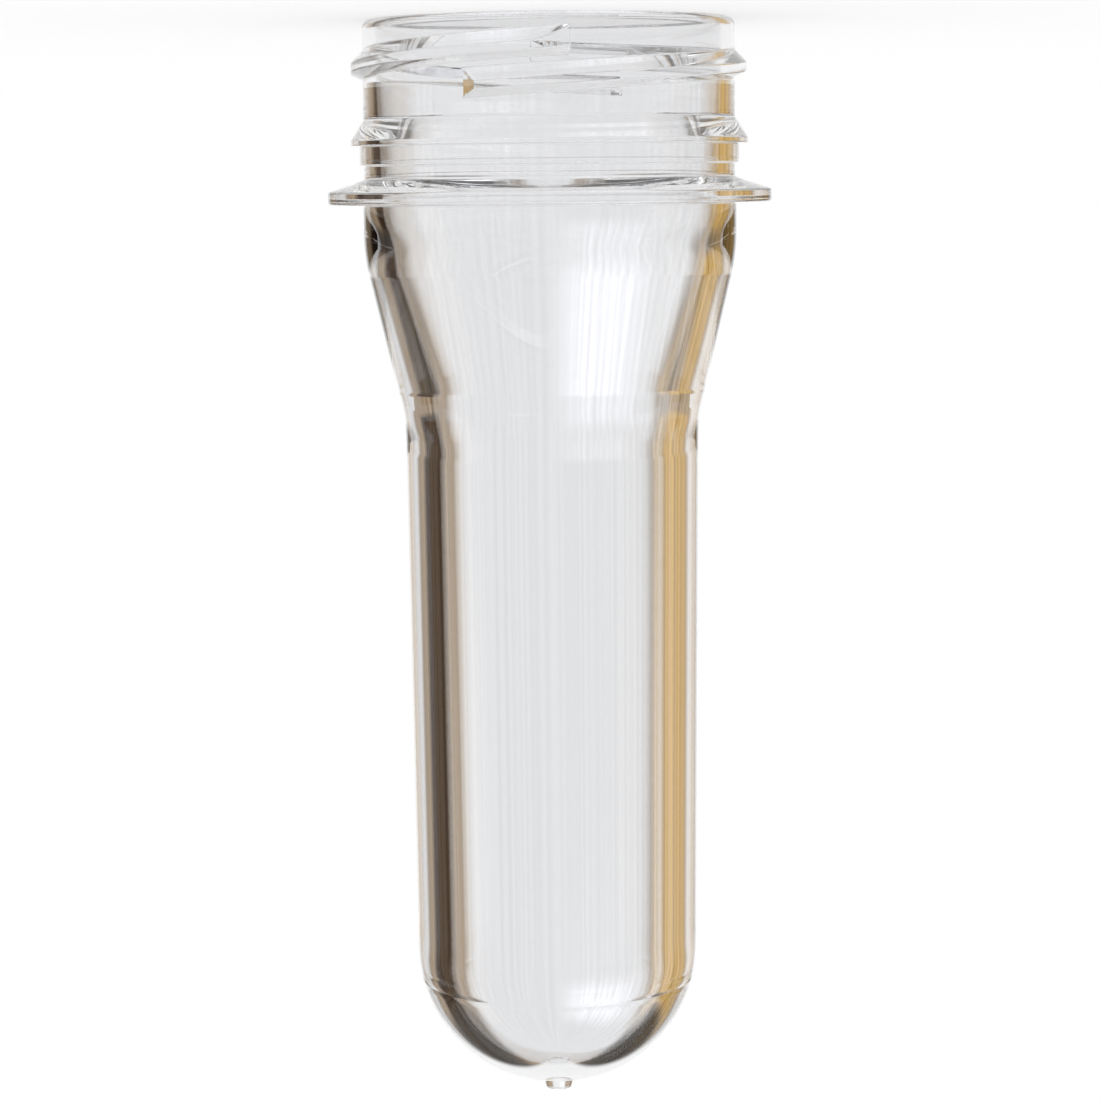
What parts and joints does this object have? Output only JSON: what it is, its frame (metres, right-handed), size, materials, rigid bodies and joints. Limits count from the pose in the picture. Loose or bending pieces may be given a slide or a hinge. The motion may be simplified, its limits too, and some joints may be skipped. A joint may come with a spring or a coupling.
{
  "type": "pet bottle preform",
  "caption": "Clear PET bottle preform: threaded neck with a tamper band bead and a support ring, a shoulder cone and a thick tube with a round end and a gate nub.",
  "frame": {"origin": "centre of the lip plane, on which the preform stands mouth down", "axes": "+Z along the axis, from the open neck to the closed gate end"},
  "size_m": [0.0418, 0.0416, 0.1024],
  "materials": {
    "clear_pet": "glossy, clear and colourless"
  },
  "bodies": {
    "root": {"preform": "clear_pet"}
  },
  "joints": []
}
